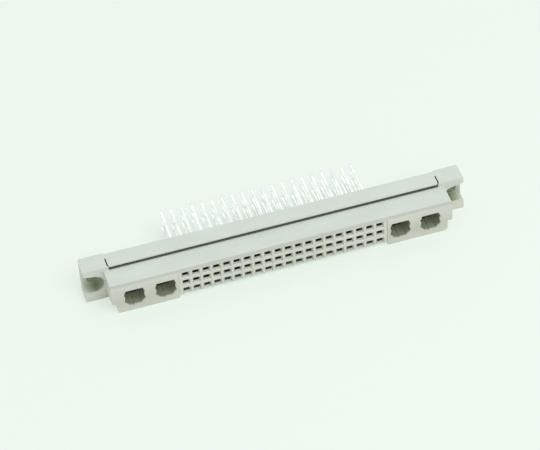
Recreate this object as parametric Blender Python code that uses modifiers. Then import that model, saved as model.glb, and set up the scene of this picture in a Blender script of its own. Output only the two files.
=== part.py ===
"""Backplane connector: a female board connector with 60 signal contacts and 4 empty cavities.

One moulded housing with an ear at each end, and one straight contact in each signal cell.
Metres, +Z up. X runs along the connector, -Y is the mating side, +Y the side of the posts.
The origin is the centre of the underside of the overall box.
"""
import math

import bmesh
import bpy
from mathutils import Matrix

MM = 0.001

# Signal contacts
PITCH = 2.54 * MM
COLUMNS = 20
ROWS = 3

# Funnel-shaped mouths, the slot behind each and the cell behind that
MOUTH_RIDGE = 0.49 * MM
MOUTH_FLOOR = 0.54 * MM
MOUTH_DEPTH = 0.65 * MM
SLOT_WIDTH = 1.30 * MM
SLOT_HEIGHT = 0.80 * MM
SLOT_LIP = 0.20 * MM
CELL_WALL = 0.88 * MM
CELL_FLOOR = 1.14 * MM

# Contact
CLEARANCE = 0.30 * MM
CONTACT_SETBACK = 1.2 * MM
CONTACT_INSET = 0.30 * MM
TINE_THICKNESS = 0.22 * MM
TINE_LENGTH = 5.2 * MM
TINE_PINCH = 0.10 * MM
TINE_THROAT = 1.0 * MM
POST_SIDE = 0.60 * MM
POST_TIP = 0.25 * MM
POST_TAPER = 0.80 * MM
POST_LENGTH = 12.4 * MM

# Signal face of the mating block
SIGNAL_MARGIN = 0.60 * MM
SIGNAL_RECESS = 0.15 * MM
LOWER_MARGIN = 0.76 * MM
UPPER_MARGIN = 0.81 * MM
LOWER_CHAMFER = 0.85 * MM
TOP_CHAMFER = 0.64 * MM

# Large cavities, two in each end block
CAVITY_WIDTH = 5.2 * MM
CAVITY_HEIGHT = 4.8 * MM
CAVITY_FLAT = 4.2 * MM
CAVITY_FOOT = 2.7 * MM
CAVITY_SHOULDER = 1.35 * MM
CAVITY_FLANK = 1.3 * MM
CAVITY_RIB = 0.30 * MM
CAVITY_DROP = 0.20 * MM
KEY_WIDTH = 0.45 * MM
KEY_DEPTH = 0.25 * MM
KEY_OFFSET = 0.30 * MM
CAVITY_WALL = 0.61 * MM
CAVITY_GAP = 2.42 * MM
END_WALL = 2.97 * MM
NOTCH_DEPTH = 1.2 * MM
NOTCH_HEIGHT = 3.1 * MM
NOTCH_RADIUS = 0.8 * MM

# Flange band, the groove along its front and ends, and the gap under its edge
BLOCK_DEPTH = 6.20 * MM
GROOVE_WIDTH = 0.30 * MM
GROOVE_SINK = 0.45 * MM
BAND_DEPTH = 4.30 * MM
BAND_RISE = 0.95 * MM
BAND_INSET = 1.3 * MM
BAND_CORNER = 0.40 * MM
EDGE_THICKNESS = 0.42 * MM
EDGE_LENGTH = 2.8 * MM
GAP_SINK = 0.35 * MM

# Ears
EAR_LENGTH = 5.1 * MM
EAR_STEP = 0.40 * MM
EAR_CORNER = 0.4 * MM
PLATE_STEP = 0.20 * MM
LIP_STEP = 0.30 * MM
HOLE_INSET = 2.5 * MM
HOLE_RISE = 0.15 * MM
HOLE_DIAMETER = 2.8 * MM
POCKET_WALL = 0.10 * MM
POCKET_DEPTH = 2.3 * MM
PLATE_TAPER = 0.5 * MM

# Sizes that follow: signal cells and heights
MOUTH_WIDTH = PITCH - MOUTH_RIDGE
MOUTH_HEIGHT = PITCH - MOUTH_FLOOR
CELL_WIDTH = PITCH - CELL_WALL
CELL_HEIGHT = PITCH - CELL_FLOOR
ROW_A_HEIGHT = LOWER_MARGIN + MOUTH_HEIGHT / 2 + (ROWS - 1) * PITCH
BLOCK_HEIGHT = ROW_A_HEIGHT + MOUTH_HEIGHT / 2 + UPPER_MARGIN
BAND_HEIGHT = BLOCK_HEIGHT + BAND_RISE
CAVITY_CENTRE = ROW_A_HEIGHT - (ROWS - 1) * PITCH / 2 - CAVITY_DROP
HOLE_HEIGHT = BAND_HEIGHT / 2 + HOLE_RISE

# Lengths that follow, as distances from the middle
SIGNAL_HALF = COLUMNS * PITCH / 2 + SIGNAL_MARGIN
CAVITY_INNER = SIGNAL_HALF + CAVITY_WALL + CAVITY_WIDTH / 2
CAVITY_OUTER = CAVITY_INNER + CAVITY_WIDTH + CAVITY_GAP
BLOCK_HALF = CAVITY_OUTER + CAVITY_WIDTH / 2 + END_WALL
BAND_HALF = BLOCK_HALF - BAND_INSET
SLIT_OUTER = BAND_HALF + GROOVE_WIDTH
OVERALL_HALF = BLOCK_HALF + EAR_LENGTH
HOLE_PLACE = OVERALL_HALF - HOLE_INSET
POCKET_RADIUS = EAR_LENGTH - HOLE_INSET - POCKET_WALL

# Depths that follow, measured from the mating face
BAND_FRONT = BLOCK_DEPTH + GROOVE_WIDTH
BAND_REAR = BAND_FRONT + BAND_DEPTH
EAR_REAR = BAND_REAR + EAR_STEP
PLATE_FRONT = BAND_FRONT - PLATE_STEP
LIP_FRONT = PLATE_FRONT - LIP_STEP
SLOT_FRONT = SIGNAL_RECESS + MOUTH_DEPTH
CELL_FRONT = SLOT_FRONT + SLOT_LIP
CONTACT_FRONT = CELL_FRONT + CONTACT_SETBACK
CONTACT_REAR = BAND_REAR - CONTACT_INSET
POST_END = CONTACT_REAR + POST_LENGTH
CONTACT_WIDTH = CELL_WIDTH - 2 * CLEARANCE
CONTACT_HEIGHT = CELL_HEIGHT - 2 * CLEARANCE
MATING_FACE = -POST_END / 2
OVERCUT = 1.0 * MM

HOUSING_COLOUR = (0.62, 0.66, 0.60, 1.0)
CONTACT_COLOUR = (0.78, 0.77, 0.74, 1.0)

# One contact near the middle of row b is held by a collar that joins it to the cell's walls.
JOINED_CONTACT = ("b", 10)
COLLAR_LENGTH = 1.2 * MM
COLLAR_SETBACK = 0.6 * MM
COLLAR_BITE = 0.15 * MM


def clear_scene():
    for obj in list(bpy.data.objects):
        bpy.data.objects.remove(obj, do_unlink=True)


def make_collection(name):
    collection = bpy.data.collections.new(name)
    bpy.context.scene.collection.children.link(collection)
    return collection


def make_material(name, colour, roughness, metallic):
    material = bpy.data.materials.new(name)
    material.use_nodes = True
    shader = material.node_tree.nodes["Principled BSDF"]
    shader.inputs["Base Color"].default_value = colour
    shader.inputs["Roughness"].default_value = roughness
    shader.inputs["Metallic"].default_value = metallic
    material.diffuse_color = colour
    return material


def new_object(name, mesh, collection):
    obj = bpy.data.objects.new(name, mesh)
    collection.objects.link(obj)
    return obj


def outline_solid(name, points, thickness):
    """Mesh of a flat outline in X and Y, extruded by the thickness and centred on Z = 0."""
    curve = bpy.data.curves.new(name, "CURVE")
    curve.dimensions = "2D"
    curve.fill_mode = "BOTH"
    curve.extrude = thickness / 2
    spline = curve.splines.new("POLY")
    spline.points.add(len(points) - 1)
    for point, (x, y) in zip(spline.points, points):
        point.co = (x, y, 0.0, 1.0)
    spline.use_cyclic_u = True
    obj = new_object(name, curve, bpy.context.scene.collection)
    bpy.context.view_layer.update()
    evaluated = obj.evaluated_get(bpy.context.evaluated_depsgraph_get())
    mesh = bpy.data.meshes.new_from_object(evaluated)
    bpy.data.objects.remove(obj, do_unlink=True)
    bpy.data.curves.remove(curve)
    bm = bmesh.new()
    bm.from_mesh(mesh)
    bmesh.ops.remove_doubles(bm, verts=bm.verts, dist=0.001 * MM)
    for level in (-thickness / 2, thickness / 2):
        cap = [face for face in bm.faces if all(abs(v.co.z - level) < 0.001 * MM for v in face.verts)]
        bmesh.ops.dissolve_faces(bm, faces=cap)
    bmesh.ops.recalc_face_normals(bm, faces=bm.faces)
    bm.to_mesh(mesh)
    bm.free()
    mesh.name = name
    return mesh


def along_y(mesh, front, rear):
    """Turns an outline drawn in X and Z so that it runs from front to rear along Y."""
    for vert in mesh.vertices:
        x, z, depth = vert.co
        vert.co = (x, rear if depth < 0 else front, z)
    mesh.update()
    return mesh


def along_x(mesh):
    """Turns an outline drawn in Y and Z so that its thickness runs along X."""
    for vert in mesh.vertices:
        y, z, depth = vert.co
        vert.co = (depth, y, z)
    mesh.update()
    return mesh


def box_mesh(name, low, high):
    mesh = bpy.data.meshes.new(name)
    bm = bmesh.new()
    bmesh.ops.create_cube(bm, size=1.0)
    for vert in bm.verts:
        vert.co = [high[i] if vert.co[i] > 0 else low[i] for i in range(3)]
    bm.to_mesh(mesh)
    bm.free()
    return mesh


def arc(centre, radius, start, end, steps):
    points = []
    for i in range(steps + 1):
        angle = math.radians(start + (end - start) * i / steps)
        points.append((centre[0] + radius * math.cos(angle), centre[1] + radius * math.sin(angle)))
    return points


def apply_boolean(target, tool, operation):
    modifier = target.modifiers.new(tool.name, "BOOLEAN")
    modifier.operation = operation
    modifier.solver = "EXACT"
    modifier.object = tool
    return modifier


def add_cutter(name, mesh, collection, target):
    cutter = new_object(name, mesh, collection)
    cutter.location.y = MATING_FACE
    cutter.hide_render = True
    cutter.display_type = "WIRE"
    apply_boolean(target, cutter, "DIFFERENCE")
    return cutter


def add_form(name, mesh, place, collection, target):
    form = new_object(name, mesh, collection)
    form.location = place
    form.hide_render = True
    form.display_type = "WIRE"
    apply_boolean(target, form, "UNION")


def set_section(face, y, width, height):
    """Places the four corners of an end face as a rectangle of this width and height at y."""
    for vert in face.verts:
        vert.co = (math.copysign(width / 2, vert.co.x), y, math.copysign(height / 2, vert.co.z))


def extrude_section(bm, face, y, width, height):
    face = bmesh.ops.extrude_discrete_faces(bm, faces=[face])["faces"][0]
    set_section(face, y, width, height)
    return face


def section_solid(name, sections):
    """A rectangle carried from section to section along Y: each is (y, width, height)."""
    mesh = bpy.data.meshes.new(name)
    bm = bmesh.new()
    bmesh.ops.create_cube(bm, size=1.0)
    front = min(bm.faces, key=lambda face: face.calc_center_median().y)
    rear = max(bm.faces, key=lambda face: face.calc_center_median().y)
    set_section(front, *sections[0])
    set_section(rear, *sections[1])
    for section in sections[2:]:
        rear = extrude_section(bm, rear, *section)
    bmesh.ops.recalc_face_normals(bm, faces=bm.faces)
    bm.to_mesh(mesh)
    bm.free()
    return mesh


def row_height(row):
    return ROW_A_HEIGHT - row * PITCH


def column_place(column):
    return (column - (COLUMNS - 1) / 2) * PITCH


def mirrored(right):
    """Closed outline from its right half, which is given from the lower or front end up."""
    return right + [(-x, other) for x, other in reversed(right)]


def block_mesh():
    """Mating block: its front outline with the notched lower corners, and the chamfered top edge."""
    low = BLOCK_HALF - NOTCH_DEPTH
    right = arc((low - NOTCH_RADIUS, NOTCH_RADIUS), NOTCH_RADIUS, -90, 0, 5)
    right += [(low, NOTCH_HEIGHT), (BLOCK_HALF, NOTCH_HEIGHT), (BLOCK_HALF, BLOCK_HEIGHT)]
    mesh = along_y(outline_solid("block", mirrored(right), BAND_FRONT), 0.0, BAND_FRONT)
    bm = bmesh.new()
    bm.from_mesh(mesh)
    top = [edge for edge in bm.edges
           if all(v.co.y < 0.01 * MM and v.co.z > BLOCK_HEIGHT - 0.01 * MM for v in edge.verts)]
    bmesh.ops.bevel(bm, geom=top, offset=TOP_CHAMFER, segments=1, affect="EDGES", profile=0.5)
    bm.to_mesh(mesh)
    bm.free()
    return mesh


def flange_mesh():
    """Flange in plan: the band in the middle and an ear with rounded rear corners at each end."""
    right = [(OVERALL_HALF, LIP_FRONT)]
    right += arc((OVERALL_HALF - EAR_CORNER, EAR_REAR - EAR_CORNER), EAR_CORNER, 0, 90, 4)
    right += [(SLIT_OUTER, EAR_REAR), (SLIT_OUTER, BAND_REAR)]
    mesh = outline_solid("flange", mirrored(right), BAND_HEIGHT)
    mesh.transform(Matrix.Translation((0, 0, BAND_HEIGHT / 2)))
    return mesh


def plan_cut(name, right, floor, top):
    """Cutter from an outline in X and Y that runs from floor to top."""
    mesh = outline_solid(name, mirrored(right), top - floor)
    for vert in mesh.vertices:
        vert.co.z = floor if vert.co.z < 0 else top
    return mesh


def cavity_outline():
    """Cavity seen from the mating side: flat on top, a rib at each side, a key groove in its floor."""
    half, top = CAVITY_WIDTH / 2, CAVITY_CENTRE + CAVITY_HEIGHT / 2
    bottom = CAVITY_CENTRE - CAVITY_HEIGHT / 2
    flank, shoulder = bottom + CAVITY_FLANK, top - CAVITY_SHOULDER
    waist = (flank + 2 * shoulder) / 3
    return [
        (-half, flank), (-CAVITY_FOOT / 2, bottom), (-KEY_OFFSET - KEY_WIDTH, bottom),
        (-KEY_OFFSET - KEY_WIDTH, bottom - KEY_DEPTH), (-KEY_OFFSET, bottom - KEY_DEPTH),
        (-KEY_OFFSET, bottom), (CAVITY_FOOT / 2, bottom), (half, flank), (half - CAVITY_RIB, waist),
        (half, shoulder), (CAVITY_FLAT / 2, top), (-CAVITY_FLAT / 2, top), (-half, shoulder),
        (CAVITY_RIB - half, waist),
    ]


def pocket_outline(side):
    """Screw pocket seen from the mating side: round towards the block, open at the ear's end."""
    end = OVERALL_HALF + OVERCUT
    rise = PLATE_TAPER * (end - HOLE_PLACE) / HOLE_INSET
    points = arc((HOLE_PLACE, HOLE_HEIGHT), POCKET_RADIUS, 90, 270, 14)
    points += [(end, HOLE_HEIGHT - POCKET_RADIUS), (end, HOLE_HEIGHT + POCKET_RADIUS + rise)]
    return [(side * x, z) for x, z in points]


def hole_mesh(side):
    depth = EAR_REAR + OVERCUT - PLATE_FRONT
    mesh = bpy.data.meshes.new("screw_hole_cut")
    bm = bmesh.new()
    place = Matrix.Translation((side * HOLE_PLACE, PLATE_FRONT + depth / 2, HOLE_HEIGHT))
    bmesh.ops.create_cone(bm, cap_ends=True, segments=24, radius1=HOLE_DIAMETER / 2,
                          radius2=HOLE_DIAMETER / 2, depth=depth,
                          matrix=place @ Matrix.Rotation(math.radians(90), 4, "X"))
    bm.to_mesh(mesh)
    bm.free()
    return mesh


def build_housing(parts, cutters, material):
    housing = new_object("housing", block_mesh(), parts)
    housing.location.y = MATING_FACE
    housing.data.materials.append(material)
    add_form("flange_form", flange_mesh(), (0, MATING_FACE, 0), cutters, housing)

    # Above the block, the flange starts behind the groove, and the ear plates a little before it.
    front = (BLOCK_DEPTH + BAND_FRONT) / 2
    right = [(2 * OVERALL_HALF, -OVERCUT), (2 * OVERALL_HALF, PLATE_FRONT), (SLIT_OUTER, PLATE_FRONT),
             (SLIT_OUTER, front)]
    top = BAND_HEIGHT + OVERCUT
    add_cutter("flange_front_cut", plan_cut("flange_front_cut", right, BLOCK_HEIGHT, top), cutters, housing)

    # Ear plates stand back from the lower lips.
    for side in (-1, 1):
        inner, outer = sorted((side * BLOCK_HALF, side * 2 * OVERALL_HALF))
        plate = box_mesh("plate_cut", (inner, LIP_FRONT - OVERCUT, HOLE_HEIGHT),
                         (outer, PLATE_FRONT, top + OVERCUT))
        add_cutter("plate_cut", plate, cutters, housing)

    # Groove between block and band, turning round the band's corners, and the gap under its edge.
    outer, middle = BAND_CORNER + GROOVE_WIDTH, BAND_CORNER + GROOVE_WIDTH / 2
    bend = (BAND_HALF - BAND_CORNER, BAND_FRONT + BAND_CORNER)
    edge_rear = BAND_FRONT + EDGE_LENGTH
    right = arc(bend, outer, -90, 0, 5) + [(SLIT_OUTER, edge_rear), (BAND_HALF, edge_rear)]
    right += arc(bend, BAND_CORNER, 0, -90, 5)
    floor = BLOCK_HEIGHT - GROOVE_SINK
    add_cutter("groove_cut", plan_cut("groove_cut", right, floor, top), cutters, housing)
    right = arc(bend, middle, -90, 0, 5)
    right += [(BAND_HALF + GROOVE_WIDTH / 2, edge_rear - GROOVE_WIDTH)]
    gap = plan_cut("gap_cut", right, BLOCK_HEIGHT - GAP_SINK, BAND_HEIGHT - EDGE_THICKNESS)
    add_cutter("gap_cut", gap, cutters, housing)

    # Signal face: set back from the end blocks, with a chamfer along its lower edge.
    foot = SIGNAL_RECESS + LOWER_CHAMFER + OVERCUT
    face = [(-OVERCUT, -OVERCUT), (foot, -OVERCUT), (SIGNAL_RECESS, LOWER_CHAMFER),
            (SIGNAL_RECESS, top), (-OVERCUT, top)]
    signal = along_x(outline_solid("signal_face_cut", face, 2 * SIGNAL_HALF))
    add_cutter("signal_face_cut", signal, cutters, housing)

    # Screw pocket in each ear, and the screw hole behind it.
    for side in (-1, 1):
        front, rear = LIP_FRONT - OVERCUT, PLATE_FRONT + POCKET_DEPTH
        pocket = along_y(outline_solid("pocket_cut", pocket_outline(side), rear - front), front, rear)
        add_cutter("pocket_cut", pocket, cutters, housing)
        add_cutter("screw_hole_cut", hole_mesh(side), cutters, housing)

    # Four cavities right through.
    for place in (-CAVITY_OUTER, -CAVITY_INNER, CAVITY_INNER, CAVITY_OUTER):
        outline = [(x + place, z) for x, z in cavity_outline()]
        cavity = outline_solid("cavity_cut", outline, BAND_REAR + 2 * OVERCUT)
        add_cutter("cavity_cut", along_y(cavity, -OVERCUT, BAND_REAR + OVERCUT), cutters, housing)

    # Signal cells: funnel, slot and contact chamber, repeated by column and row.
    sections = [
        (-OVERCUT, MOUTH_WIDTH, MOUTH_HEIGHT),
        (SIGNAL_RECESS, MOUTH_WIDTH, MOUTH_HEIGHT),
        (SLOT_FRONT, SLOT_WIDTH, SLOT_HEIGHT),
        (CELL_FRONT, SLOT_WIDTH, SLOT_HEIGHT),
        (CELL_FRONT, CELL_WIDTH, CELL_HEIGHT),
        (BAND_REAR + OVERCUT, CELL_WIDTH, CELL_HEIGHT),
    ]
    cell = add_cutter("cell_cut", section_solid("cell_cut", sections), cutters, housing)
    cell.location.x = column_place(0)
    cell.location.z = row_height(ROWS - 1)
    for name, count, step in (("columns", COLUMNS, (PITCH, 0, 0)), ("rows", ROWS, (0, 0, PITCH))):
        pattern = cell.modifiers.new(name, "ARRAY")
        pattern.count = count
        pattern.use_relative_offset = False
        pattern.use_constant_offset = True
        pattern.constant_offset_displace = step
        pattern.use_merge_vertices = False
    return housing


def contact_mesh():
    """Contact: two sprung tines on a block, and a square post with a tapered tip."""
    half = CONTACT_HEIGHT / 2
    root = CONTACT_FRONT + TINE_LENGTH
    gap = half - TINE_THICKNESS
    throat = CONTACT_FRONT + TINE_THROAT
    upper = [(CONTACT_REAR, half), (CONTACT_FRONT, half), (CONTACT_FRONT, half - TINE_THICKNESS / 2),
             (throat, gap - TINE_PINCH), (throat + TINE_THROAT, gap - TINE_PINCH), (root, gap)]
    outline = upper + [(y, -z) for y, z in reversed(upper)]
    mesh = along_x(outline_solid("contact", outline, CONTACT_WIDTH))
    bm = bmesh.new()
    bm.from_mesh(mesh)
    rear = max(bm.faces, key=lambda face: face.calc_center_median().y)
    for y, side in ((CONTACT_REAR, POST_SIDE), (POST_END - POST_TAPER, POST_SIDE), (POST_END, POST_TIP)):
        rear = extrude_section(bm, rear, y, side, side)
    bmesh.ops.recalc_face_normals(bm, faces=bm.faces)
    bm.to_mesh(mesh)
    bm.free()
    return mesh


def collar_mesh():
    """Block that fills the space between a contact and its cell, a little into the cell's walls."""
    width = CELL_WIDTH / 2 + COLLAR_BITE
    height = CELL_HEIGHT / 2 + COLLAR_BITE
    rear = CONTACT_REAR - COLLAR_SETBACK
    return box_mesh("collar", (-width, rear - COLLAR_LENGTH, -height), (width, rear, height))


def build_contacts(parts, cutters, housing, material):
    mesh = contact_mesh()
    mesh.materials.append(material)
    for row, letter in enumerate("abc"[:ROWS]):
        for column in range(COLUMNS):
            place = (column_place(column), MATING_FACE, row_height(row))
            if (letter, column + 1) == JOINED_CONTACT:
                add_form("collar_form", collar_mesh(), place, cutters, housing)
                add_form("joined_contact_form", contact_mesh(), place, cutters, housing)
            else:
                contact = new_object("contact_%s%02d" % (letter, column + 1), mesh, parts)
                contact.location = place


def main():
    clear_scene()
    parts = make_collection("backplane_connector")
    cutters = make_collection("cutters")
    plastic = make_material("housing_plastic", HOUSING_COLOUR, 0.5, 0.0)
    metal = make_material("contact_metal", CONTACT_COLOUR, 0.3, 1.0)
    housing = build_housing(parts, cutters, plastic)
    build_contacts(parts, cutters, housing, metal)


main()
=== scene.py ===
"""Backplane connector: finishes, fine surfaces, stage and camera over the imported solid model."""

import bpy
import numpy as np
from bpy.props import FloatProperty, FloatVectorProperty, IntProperty, PointerProperty
from mathutils import Matrix, Vector


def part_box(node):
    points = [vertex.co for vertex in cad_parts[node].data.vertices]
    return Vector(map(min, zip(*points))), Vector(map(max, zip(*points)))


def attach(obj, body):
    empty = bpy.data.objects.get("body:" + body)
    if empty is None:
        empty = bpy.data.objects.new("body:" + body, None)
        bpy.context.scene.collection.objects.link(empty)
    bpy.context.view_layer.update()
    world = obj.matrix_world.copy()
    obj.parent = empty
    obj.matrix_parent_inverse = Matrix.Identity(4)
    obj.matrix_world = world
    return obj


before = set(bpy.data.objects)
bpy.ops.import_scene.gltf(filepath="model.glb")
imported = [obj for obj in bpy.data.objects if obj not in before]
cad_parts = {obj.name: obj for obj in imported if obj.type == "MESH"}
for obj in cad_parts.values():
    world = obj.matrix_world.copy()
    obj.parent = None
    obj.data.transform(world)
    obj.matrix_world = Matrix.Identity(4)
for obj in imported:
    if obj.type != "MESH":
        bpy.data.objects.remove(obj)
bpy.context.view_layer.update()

bl_info = {
    "name": "Backplane connector",
    "version": (1, 0, 0),
    "blender": (4, 5, 0),
    "location": "View3D > Sidebar > Connector",
    "description": "Finishes a board connector with moulded plastic, tinned contacts and a studio stage",
    "category": "Object",
}

MM = 0.001

HOUSING_LOW, HOUSING_HIGH = (Vector(corner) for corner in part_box("housing"))

# Boxes of painted shade on the housing in millimetres, each a low and a high corner, the widths over which
# its shade fades in at its sides, and how much of which shade colour it takes. X counts from the middle to
# either side, Y back from the mating face, Z up. The shade is painted into the mouths, cells, groove,
# slits, cavities and screw pockets, along the edge of the signal field and the front chamfer, and low on
# the end blocks' front faces, darker towards the bottom, because soft light alone leaves them paler than
# the real part shows them. It stays when the light changes.
PAINTED_SHADE_BOXES = {
    "cavities": ((26.3, 0.10, 1.3), (39.7, 10.6, 6.7), (0.2, 0.4, 0.2), "shallow_shade_colour", 0.80),
    "cavity_depths": ((26.3, 3.95, 1.3), (39.7, 6.75, 6.7), (0.2, 0.35, 0.2), "deep_shade_colour", 0.97),
    "funnels": ((-1.0, 0.18, 0.60), (25.75, 0.95, 8.1), (0.2, 0.45, 0.2), "shallow_shade_colour", 0.50),
    "signal_cells": ((-1.0, 0.68, 0.95), (25.7, 10.6, 7.9), (0.2, 0.10, 0.2), "deep_shade_colour", 0.98),
    # Painted shade: a thin dark line along each edge of the signal field.
    "signal_edges": ((25.90, 0.03, 0.90), (26.02, 0.40, 8.0), (0.03, 0.05, 0.2), "deep_shade_colour", 0.55),
    "groove": ((-1.0, 6.42, 8.2), (41.45, 9.4, 9.18), (0.05, 0.1, 0.06), "deep_shade_colour", 0.71),
    "slits": ((41.06, 6.75, 8.2), (41.44, 9.4, 9.58), (0.02, 0.1, 0.03), "deep_shade_colour", 0.95),
    "screw_pockets": ((42.5, 6.35, 2.4), (47.6, 11.3, 7.55), (0.3, 0.8, 0.3), "shallow_shade_colour", 0.28),
    "pocket_ends": ((41.5, 6.35, 0.8), (47.6, 11.3, 5.6), (3.0, 0.4, 1.6), "shallow_shade_colour", 0.95),
    # Painted shade, not in recesses: a darker band along the front chamfer, and the end blocks' front
    # faces darker towards the bottom.
    "front_chamfer": ((-1.0, -0.30, 7.95), (42.5, 0.70, 8.85), (0.2, 0.06, 0.22), "deep_shade_colour", 0.28),
    "front_foot": ((26.1, -0.30, -1.0), (42.6, 0.06, 7.6), (0.1, 0.05, 6.0), "shallow_shade_colour", 0.34),
}

# Patterns: the height of the grain and of the streaks, the width of a streak and of a dulled patch, and
# the ranges of roughness. A stretch is a factor on X, Y and Z, and a small one draws the pattern out
# along that axis: flow marks along the part, streaks along the post. The streaks are drawn wider than
# the real ones, which are too fine to show.
FLOW_STRETCH = (0.35, 1.0, 1.0)
GRAIN_HEIGHT = 0.01 * MM
PLASTIC_ROUGHNESS = (0.40, 0.58)
STREAK_STRETCH = (1.0, 0.12, 1.0)
STREAK_WIDTH = 0.3 * MM
STREAK_HEIGHT = 0.002 * MM
DULL_PATCH = 2.0 * MM
TIN_ROUGHNESS = (0.16, 0.24)

# Rounded edges: points nearer than the first are welded, faces flatter than the second angle are joined,
# and edges sharper than the third are rounded. Angles are in radians.
WELD_DISTANCE = 0.001 * MM
FLAT_ANGLE = 0.01
EDGE_ANGLE = 0.6

# The joined contact, as in the solid model: its post, where its body ends behind the mating face, and how
# far the metal skin reaches onto the body. The corners of its section follow a superellipse of this power.
POST_SIDE = 0.60 * MM
POST_TIP = 0.25 * MM
POST_TAPER = 0.80 * MM
BODY_END = 10.5 * MM
BODY_SKIN = 0.5 * MM
CORNER_POWER = 8

# Stage in metres: half the floor's side, its drop below the part, where its shadow begins to fade into
# the backdrop and where it has faded, and each lamp's place, width and setting.
FLOOR_HALF = 3.0
FLOOR_DROP = 0.05 * MM
FADE_START = 0.15
FADE_END = 0.60
LAMPS = {
    "key": ((0.24, -0.48, 0.75), 0.7, "key_power"),
    "back": ((0.14, 0.72, 0.72), 1.3, "back_power"),
}

# Camera, from a fit of the part's corners and cavities to the photograph: its place and the direction
# that lies level in its picture. It is turned from there to the middle of the housing. Its sensor is
# given in millimetres, and the nearest distance that it sees in metres.
CAMERA_PLACE = Vector((-107.05, -424.06, 434.17)) * MM
CAMERA_ACROSS = Vector((0.95338, -0.29848, -0.04457))
SENSOR_WIDTH = 36.0
CLIP_START = 0.01


def linear(hex_colour):
    """sRGB hex colour to linear red, green and blue."""
    channels = []
    for i in (1, 3, 5):
        value = int(hex_colour[i:i + 2], 16) / 255
        channels.append(value / 12.92 if value <= 0.04045 else ((value + 0.055) / 1.055) ** 2.4)
    return tuple(channels)


# Sizes and colours

class HousingSettings(bpy.types.PropertyGroup):
    plastic_colour: FloatVectorProperty(
        name="Plastic colour", description="Pebble grey of the moulded housing",
        subtype="COLOR", size=3, min=0, max=1, default=linear("#D9E2D8"))
    flow_colour: FloatVectorProperty(
        name="Flow mark colour", description="Slightly darker grey of the flow marks",
        subtype="COLOR", size=3, min=0, max=1, default=linear("#D2DBD1"))
    # Painted shade: the olive grey painted into open recesses, standing in for their shade and the light
    # bounced in them.
    shallow_shade_colour: FloatVectorProperty(
        name="Shallow recess colour", description="Olive grey that the plastic takes in open recesses",
        subtype="COLOR", size=3, min=0, max=1, default=linear("#7F8867"))
    # Painted shade: the dark grey painted into deep, narrow recesses, where shade falls.
    deep_shade_colour: FloatVectorProperty(
        name="Deep recess colour", description="Dark grey that the plastic takes in deep, narrow recesses",
        subtype="COLOR", size=3, min=0, max=1, default=linear("#2C3722"))
    edge_radius: FloatProperty(
        name="Edge radius", description="Rounding that the mould leaves on every edge",
        subtype="DISTANCE", unit="LENGTH", min=0.0, max=0.0004, precision=5, default=0.00009)
    edge_steps: IntProperty(
        name="Edge steps", description="Faces across each rounded edge", min=1, max=4, default=2)
    flow_size: FloatProperty(
        name="Flow mark size", description="Typical width of a flow mark",
        subtype="DISTANCE", unit="LENGTH", min=0.0005, max=0.02, precision=4, default=0.0045)
    # A spark-eroded mould leaves a grain finer than 0.1 mm. It is drawn at 0.22 mm, so that it can show.
    grain_size: FloatProperty(
        name="Grain size", description="Spacing at which the spark-eroded mould grain is drawn",
        subtype="DISTANCE", unit="LENGTH", min=0.00005, max=0.001, precision=5, default=0.00022)


class ContactSettings(bpy.types.PropertyGroup):
    tin_colour: FloatVectorProperty(
        name="Tin colour", description="Bright tin plating on the posts",
        subtype="COLOR", size=3, min=0, max=1, default=linear("#FAFAFB"))
    dull_colour: FloatVectorProperty(
        name="Dull tin colour", description="Tin where it has dulled",
        subtype="COLOR", size=3, min=0, max=1, default=linear("#E4E4E6"))
    edge_radius: FloatProperty(
        name="Post edge radius", description="Rounding on the long edges of a stamped post",
        subtype="DISTANCE", unit="LENGTH", min=0.0, max=0.0002, precision=5, default=0.00005)
    skin: FloatProperty(
        name="Plating skin", description="Thickness of the metal skin over the joined contact",
        subtype="DISTANCE", unit="LENGTH", min=0.000005, max=0.00005, precision=6, default=0.00001)


class StageSettings(bpy.types.PropertyGroup):
    floor_colour: FloatVectorProperty(
        name="Floor colour", description="Pale paper under the part",
        subtype="COLOR", size=3, min=0, max=1, default=linear("#F1FBF2"))
    bounce_colour: FloatVectorProperty(
        name="Bounce colour", description="Warmer white that the paper throws back onto the part",
        subtype="COLOR", size=3, min=0, max=1, default=linear("#EDE6DE"))
    floor_shadow: FloatProperty(
        name="Floor shadow", description="How much of the part's shadow shows on the pale floor",
        subtype="FACTOR", min=0, max=1, default=0.4)
    sky_strength: FloatProperty(
        name="Sky strength", description="Even light from all round", min=0, max=2, default=0.66)
    key_power: FloatProperty(
        name="Key power", description="Power of the large soft lamp in front",
        unit="POWER", min=0, max=50, default=3.0)
    back_power: FloatProperty(
        name="Back power", description="Power of the soft lamp behind, which the tops of the posts mirror",
        unit="POWER", min=0, max=50, default=0.75)
    lens: FloatProperty(
        name="Lens", description="Focal length of the camera in millimetres", min=20, max=400,
        default=169.8)


# Node and mesh helpers

def add_node(tree, kind, links=None, sockets=None, **values):
    """Adds a node. Links go to its inputs from other outputs, and sockets are values of its inputs, both
    by name or number. Other values are its properties, or its inputs by name with _ for a space."""
    node = tree.nodes.new(kind)
    for name, value in values.items():
        if hasattr(node, name):
            setattr(node, name, value)
        else:
            node.inputs[name.replace("_", " ")].default_value = value
    for name, value in (sockets or {}).items():
        node.inputs[name].default_value = value
    for name, source in (links or {}).items():
        tree.links.new(source, node.inputs[name])
    return node


def new_material(name):
    """Material with only a Principled shader and an output, and its node tree and shader."""
    material = bpy.data.materials.new(name)
    material.use_nodes = True
    tree = material.node_tree
    tree.nodes.clear()
    shader = add_node(tree, "ShaderNodeBsdfPrincipled")
    add_node(tree, "ShaderNodeOutputMaterial", {"Surface": shader.outputs["BSDF"]})
    return material, tree, shader


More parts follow.
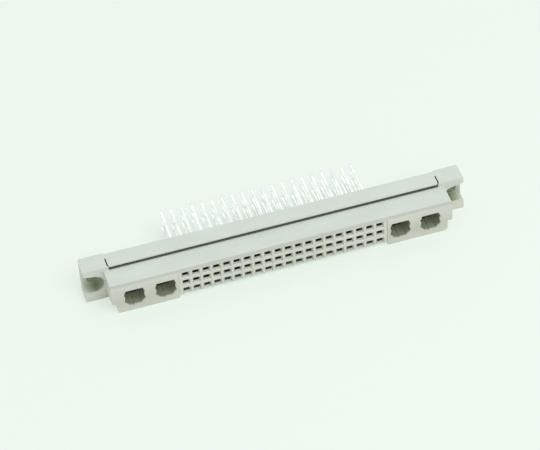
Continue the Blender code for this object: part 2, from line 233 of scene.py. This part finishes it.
def painted_shade_share(tree, place, low, high, soft):
    """Share from 0 to 1 of a point's place in a box: 1 inside, falling to 0 over the soft width at its
    sides. The point is taken with positive signs, so one box stands for both ends of the housing."""
    low, high, soft = (np.array(corner) * MM for corner in (low, high, soft))
    mating_face = (0.0, HOUSING_LOW.y, 0.0)
    none, all_of_it = (0, 0, 0), (1, 1, 1)
    steps = (
        ("SUBTRACT", mating_face), ("ABSOLUTE", none), ("SUBTRACT", (low + high) / 2), ("ABSOLUTE", none),
        ("SUBTRACT", (high - low) / 2), ("DIVIDE", -soft), ("MAXIMUM", none), ("MINIMUM", all_of_it),
    )
    value = place
    for operation, other in steps:
        node = add_node(tree, "ShaderNodeVectorMath", {0: value}, {1: tuple(other)}, operation=operation)
        value = node.outputs["Vector"]
    axes = add_node(tree, "ShaderNodeSeparateXYZ", {"Vector": value})
    across = add_node(tree, "ShaderNodeMath", {0: axes.outputs["X"], 1: axes.outputs["Y"]},
                      operation="MULTIPLY")
    share = add_node(tree, "ShaderNodeMath", {0: across.outputs["Value"], 1: axes.outputs["Z"]},
                     operation="MULTIPLY")
    return share.outputs["Value"]


def moulded_polyester(settings):
    """Glass-filled PBT, injection moulded: an even satin grey with faint flow marks and mould grain, with
    painted shade in its recesses, along its front chamfer and low on its front faces.
    """
    material, tree, shader = new_material("moulded_pbt_pebble_grey")
    place = add_node(tree, "ShaderNodeTexCoord").outputs["Object"]
    stretch = add_node(tree, "ShaderNodeMapping", {"Vector": place}, Scale=FLOW_STRETCH)
    flow = add_node(tree, "ShaderNodeTexNoise", {"Vector": stretch.outputs["Vector"]},
                    Scale=1.0 / settings.flow_size, Detail=4.0, Roughness=0.55)
    marks = add_node(tree, "ShaderNodeMapRange", {"Value": flow.outputs["Fac"]},
                     From_Min=0.35, From_Max=0.7)
    colours = {6: (*settings.plastic_colour, 1.0), 7: (*settings.flow_colour, 1.0)}
    plastic = add_node(tree, "ShaderNodeMix", {"Factor": marks.outputs["Result"]}, colours,
                       data_type="RGBA")
    tone = plastic.outputs[2]
    # Painted shade: in each box the colour is mixed towards a shade colour, standing in for the shade that
    # falls there.
    for low, high, soft, shade, depth in PAINTED_SHADE_BOXES.values():
        place_share = painted_shade_share(tree, place, low, high, soft)
        share = add_node(tree, "ShaderNodeMath", {0: place_share}, {1: depth}, operation="MULTIPLY")
        shade_colour = (*getattr(settings, shade), 1.0)
        shaded = add_node(tree, "ShaderNodeMix", {"Factor": share.outputs["Value"], 6: tone},
                          {7: shade_colour}, data_type="RGBA")
        tone = shaded.outputs[2]
    grain = add_node(tree, "ShaderNodeTexNoise", {"Vector": place},
                     Scale=1.0 / settings.grain_size, Detail=2.0, Roughness=0.6)
    rough = add_node(tree, "ShaderNodeMapRange", {"Value": grain.outputs["Fac"]},
                     From_Min=0.3, From_Max=0.7, To_Min=PLASTIC_ROUGHNESS[0], To_Max=PLASTIC_ROUGHNESS[1])
    bump = add_node(tree, "ShaderNodeBump", {"Height": grain.outputs["Fac"]},
                    Strength=0.25, Distance=GRAIN_HEIGHT)
    tree.links.new(tone, shader.inputs["Base Color"])
    tree.links.new(rough.outputs["Result"], shader.inputs["Roughness"])
    tree.links.new(bump.outputs["Normal"], shader.inputs["Normal"])
    shader.inputs["IOR"].default_value = 1.55
    return material


def tinned_bronze(settings):
    """Tin-plated bronze, stamped and drawn: bright and slightly streaked along the post."""
    material, tree, shader = new_material("tin_plated_bronze")
    place = add_node(tree, "ShaderNodeTexCoord").outputs["Object"]
    along = add_node(tree, "ShaderNodeMapping", {"Vector": place}, Scale=STREAK_STRETCH)
    streak = add_node(tree, "ShaderNodeTexNoise", {"Vector": along.outputs["Vector"]},
                      Scale=1.0 / STREAK_WIDTH, Detail=3.0, Roughness=0.6)
    dull = add_node(tree, "ShaderNodeTexNoise", {"Vector": place}, Scale=1.0 / DULL_PATCH, Detail=2.0)
    patches = add_node(tree, "ShaderNodeMapRange", {"Value": dull.outputs["Fac"]},
                       From_Min=0.4, From_Max=0.7)
    colours = {6: (*settings.tin_colour, 1.0), 7: (*settings.dull_colour, 1.0)}
    tin = add_node(tree, "ShaderNodeMix", {"Factor": patches.outputs["Result"]}, colours,
                   data_type="RGBA")
    rough = add_node(tree, "ShaderNodeMapRange", {"Value": streak.outputs["Fac"]},
                     From_Min=0.3, From_Max=0.7, To_Min=TIN_ROUGHNESS[0], To_Max=TIN_ROUGHNESS[1])
    bump = add_node(tree, "ShaderNodeBump", {"Height": streak.outputs["Fac"]},
                    Strength=0.05, Distance=STREAK_HEIGHT)
    tree.links.new(tin.outputs[2], shader.inputs["Base Color"])
    tree.links.new(rough.outputs["Result"], shader.inputs["Roughness"])
    tree.links.new(bump.outputs["Normal"], shader.inputs["Normal"])
    shader.inputs["Metallic"].default_value = 1.0
    return material


def seen_directly(tree):
    """1 for rays that look at the backdrop, straight or by a gloss or through glass, and 0 for light."""
    path = add_node(tree, "ShaderNodeLightPath")
    value = path.outputs["Is Camera Ray"]
    for ray in ("Is Glossy Ray", "Is Transmission Ray"):
        either = add_node(tree, "ShaderNodeMath", {0: value, 1: path.outputs[ray]}, operation="MAXIMUM")
        value = either.outputs["Value"]
    return value


def matt_paper(settings):
    """Matt white paper: an even pale ground for the eye, with a share of the part's soft shadow that
    fades with the distance from the part, and a warmer white for the light that it throws back."""
    material, tree, shader = new_material("matt_paper")
    looked_at = seen_directly(tree)
    whites = {6: (*settings.bounce_colour, 1.0), 7: (*settings.floor_colour, 1.0)}
    paper = add_node(tree, "ShaderNodeMix", {"Factor": looked_at}, whites, data_type="RGBA")
    tree.links.new(paper.outputs[2], shader.inputs["Base Color"])
    shader.inputs["Roughness"].default_value = 0.9
    shader.inputs["Specular IOR Level"].default_value = 0.1
    glow = add_node(tree, "ShaderNodeEmission", Strength=1.0, Color=(*settings.floor_colour, 1.0))
    place = add_node(tree, "ShaderNodeTexCoord").outputs["Object"]
    reach = add_node(tree, "ShaderNodeVectorMath", {0: place}, operation="LENGTH")
    far = add_node(tree, "ShaderNodeMapRange", {"Value": reach.outputs["Value"]},
                   From_Min=FADE_START, From_Max=FADE_END, To_Min=1.0 - settings.floor_shadow, To_Max=1.0)
    ground = add_node(tree, "ShaderNodeMixShader", {
        "Fac": far.outputs["Result"], 1: shader.outputs["BSDF"], 2: glow.outputs["Emission"]})
    seen = add_node(tree, "ShaderNodeMixShader", {
        "Fac": looked_at, 1: shader.outputs["BSDF"], 2: ground.outputs["Shader"]})
    tree.links.new(seen.outputs["Shader"], tree.nodes["Material Output"].inputs["Surface"])
    return material


def dress_node(name, material, radius, steps):
    """Gives a solid its material and rounds its edges: weld, flat faces joined, bevel, even normals."""
    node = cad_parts[name]
    node.data.materials.clear()
    node.data.materials.append(material)
    weld = node.modifiers.new("weld", "WELD")
    weld.merge_threshold = WELD_DISTANCE
    flat = node.modifiers.new("flat_faces", "DECIMATE")
    flat.decimate_type = "DISSOLVE"
    flat.angle_limit = FLAT_ANGLE
    bevel = node.modifiers.new("mould_edge", "BEVEL")
    bevel.width = radius
    bevel.segments = steps
    bevel.limit_method = "ANGLE"
    bevel.angle_limit = EDGE_ANGLE
    bevel.harden_normals = False
    smooth = node.modifiers.new("even_normals", "WEIGHTED_NORMAL")
    smooth.keep_sharp = True
    node.data.shade_smooth()


def rounded_square(steps):
    """Unit square with rounded corners: x and z of a superellipse, at equal angles all round."""
    turn = np.linspace(0.0, 2.0 * np.pi, steps, endpoint=False) + np.pi / steps
    power = CORNER_POWER
    radius = (np.abs(np.cos(turn)) ** power + np.abs(np.sin(turn)) ** power) ** (-1 / power)
    return radius * np.cos(turn), radius * np.sin(turn)


def swept_section(name, stations, steps=16):
    """Closed surface: a rounded square carried along Y, its x times the half width and its z times the
    half height of each station. A station is (y, half width, half height)."""
    x, z = rounded_square(steps)
    y, width, height = np.array(stations).T
    points = np.stack([np.outer(width, x), np.outer(y, np.ones(steps)), np.outer(height, z)], axis=-1)
    ring, step = np.meshgrid(np.arange(len(y) - 1), np.arange(steps), indexing="ij")
    near, after = ring * steps, (step + 1) % steps
    quads = np.stack([near + step, near + steps + step, near + steps + after, near + after], axis=-1)
    front_cap = list(range(steps))
    rear_cap = list(range(len(y) * steps - 1, (len(y) - 1) * steps - 1, -1))
    mesh = bpy.data.meshes.new(name)
    mesh.from_pydata(points.reshape(-1, 3).tolist(), [],
                     quads.reshape(-1, 4).tolist() + [front_cap, rear_cap])
    mesh.update()
    return mesh


def add_floor(scene, settings):
    """Flat sheet of paper just under the part."""
    half, drop = FLOOR_HALF, FLOOR_DROP
    corners = [(-half, -half, -drop), (half, -half, -drop), (half, half, -drop), (-half, half, -drop)]
    mesh = bpy.data.meshes.new("floor")
    mesh.from_pydata(corners, [], [(0, 1, 2, 3)])
    mesh.materials.append(matt_paper(settings))
    floor = bpy.data.objects.new("floor", mesh)
    scene.collection.objects.link(floor)


def add_soft_room(scene, settings):
    """World of even white light, seen as the floor's colour, and the soft lamps, turned to the part."""
    world = bpy.data.worlds.new("soft_room")
    scene.world = world
    world.use_nodes = True
    tree = world.node_tree
    tree.nodes.clear()
    light = add_node(tree, "ShaderNodeBackground", Strength=settings.sky_strength,
                     Color=(1.0, 1.0, 1.0, 1.0))
    backdrop = add_node(tree, "ShaderNodeBackground", Strength=1.0, Color=(*settings.floor_colour, 1.0))
    room = add_node(tree, "ShaderNodeMixShader", {
        "Fac": seen_directly(tree), 1: light.outputs["Background"], 2: backdrop.outputs["Background"]})
    add_node(tree, "ShaderNodeOutputWorld", {"Surface": room.outputs["Shader"]})
    for name, (position, width, power) in LAMPS.items():
        lamp = bpy.data.lights.new(name, "AREA")
        lamp.shape = "DISK"
        lamp.size = width
        lamp.energy = getattr(settings, power)
        softbox = bpy.data.objects.new(name, lamp)
        softbox.location = position
        softbox.rotation_euler = Vector(position).to_track_quat("Z", "Y").to_euler()
        scene.collection.objects.link(softbox)


def add_camera(scene, settings):
    """Camera at the photograph's place, turned to the middle of the housing."""
    view = bpy.data.cameras.new("camera")
    view.sensor_width = SENSOR_WIDTH
    view.lens = settings.lens
    view.clip_start = CLIP_START
    back = (CAMERA_PLACE - (HOUSING_LOW + HOUSING_HIGH) / 2).normalized()
    right = (CAMERA_ACROSS - CAMERA_ACROSS.dot(back) * back).normalized()
    up = back.cross(right)
    turned = Matrix((right, up, back)).transposed().to_4x4()
    camera = bpy.data.objects.new("camera", view)
    camera.matrix_world = Matrix.Translation(CAMERA_PLACE) @ turned
    scene.collection.objects.link(camera)
    scene.camera = camera
    scene.view_settings.view_transform = "Standard"


# Operators

class CONNECTOR_OT_housing(bpy.types.Operator):
    """Finish the moulded housing"""
    bl_idname = "connector.housing"
    bl_label = "Finish housing"

    def execute(self, context):
        settings = context.scene.connector_housing
        plastic = moulded_polyester(settings)
        dress_node("housing", plastic, settings.edge_radius, settings.edge_steps)
        return {"FINISHED"}


class CONNECTOR_OT_contacts(bpy.types.Operator):
    """Finish the separate contacts"""
    bl_idname = "connector.contacts"
    bl_label = "Finish contacts"

    def execute(self, context):
        settings = context.scene.connector_contacts
        tin = tinned_bronze(settings)
        names = [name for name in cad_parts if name.startswith("contact_")]
        if not names:
            raise RuntimeError("the model has no contacts")
        for name in names:
            dress_node(name, tin, settings.edge_radius, 1)
        return {"FINISHED"}


class CONNECTOR_OT_joined_contact(bpy.types.Operator):
    """Give the contact that is joined to the housing its metal skin"""
    bl_idname = "connector.joined_contact"
    bl_label = "Skin joined contact"

    def execute(self, context):
        skin = context.scene.connector_contacts.skin
        # This contact is like its two neighbours in the row and lies midway between them.
        neighbours = np.array([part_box("contact_b09"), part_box("contact_b11")])
        low, high = neighbours.mean(axis=0)
        centre = (low + high) / 2
        width, height = (high[0] - low[0]) / 2 + skin, (high[2] - low[2]) / 2 + skin
        post, tip = POST_SIDE / 2 + skin, POST_TIP / 2 + skin
        body_end, rear = HOUSING_LOW.y + BODY_END, high[1]
        stations = [
            (body_end - BODY_SKIN, width, height), (body_end + skin, width, height),
            (body_end + skin, post, post), (rear - POST_TAPER, post, post),
            (rear, tip, tip),
        ]
        mesh = swept_section("joined_contact_skin", stations)
        mesh.transform(Matrix.Translation((centre[0], 0.0, centre[2])))
        piece = bpy.data.objects.new("joined_contact_skin", mesh)
        context.scene.collection.objects.link(piece)
        mesh.materials.append(bpy.data.materials["tin_plated_bronze"])
        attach(piece, "root")
        return {"FINISHED"}


class CONNECTOR_OT_stage(bpy.types.Operator):
    """Floor, soft light and camera"""
    bl_idname = "connector.stage"
    bl_label = "Stage"

    def execute(self, context):
        settings = context.scene.connector_stage
        add_floor(context.scene, settings)
        add_soft_room(context.scene, settings)
        add_camera(context.scene, settings)
        return {"FINISHED"}


class CONNECTOR_PT_panel(bpy.types.Panel):
    """Shows the connector's settings and the buttons of its operators"""
    bl_idname = "CONNECTOR_PT_panel"
    bl_label = "Backplane connector"
    bl_space_type = "VIEW_3D"
    bl_region_type = "UI"
    bl_category = "Connector"

    def draw(self, context):
        layout = self.layout
        for name, kind in SETTINGS.items():
            box = layout.box()
            group = getattr(context.scene, name)
            for key in kind.__annotations__:
                box.prop(group, key)
        for operator in OPERATORS:
            layout.operator(operator.bl_idname)


SETTINGS = {
    "connector_housing": HousingSettings,
    "connector_contacts": ContactSettings,
    "connector_stage": StageSettings,
}
OPERATORS = (CONNECTOR_OT_housing, CONNECTOR_OT_contacts, CONNECTOR_OT_joined_contact, CONNECTOR_OT_stage)


def register():
    for name, kind in SETTINGS.items():
        bpy.utils.register_class(kind)
        setattr(bpy.types.Scene, name, PointerProperty(type=kind))
    for kind in OPERATORS + (CONNECTOR_PT_panel,):
        bpy.utils.register_class(kind)


def unregister():
    for kind in reversed(OPERATORS + (CONNECTOR_PT_panel,)):
        bpy.utils.unregister_class(kind)
    for name, kind in SETTINGS.items():
        delattr(bpy.types.Scene, name)
        bpy.utils.unregister_class(kind)


def main():
    register()
    bpy.ops.connector.housing()
    bpy.ops.connector.contacts()
    bpy.ops.connector.joined_contact()
    bpy.ops.connector.stage()


if __name__ == "__main__":
    main()
